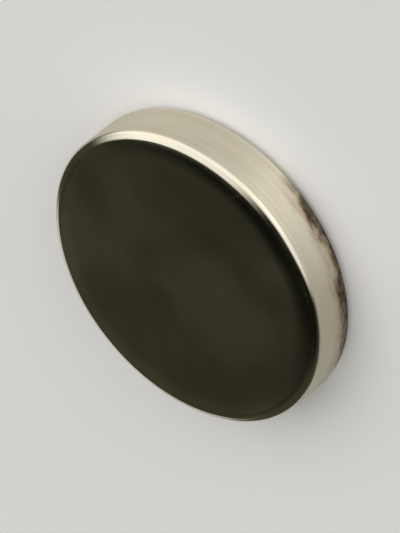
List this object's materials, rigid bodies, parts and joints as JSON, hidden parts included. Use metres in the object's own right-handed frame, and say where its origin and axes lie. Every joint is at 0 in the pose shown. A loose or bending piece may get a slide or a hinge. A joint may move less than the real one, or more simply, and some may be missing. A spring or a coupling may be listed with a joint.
{
  "type": "disc magnet",
  "caption": "Thin round magnet with flat faces and rounded edges, nickel plated, for holding, latching or gluing into a pocket.",
  "frame": {"origin": "centre of the flat face that the disc lies on", "axes": "+Z along the disc's axis, out of the upper face; +X and +Y lie across diameters"},
  "size_m": [0.008, 0.008, 0.0014],
  "materials": {
    "nickel_plating": "gloss"
  },
  "bodies": {
    "root": {"disc_magnet": "nickel_plating"}
  },
  "joints": []
}
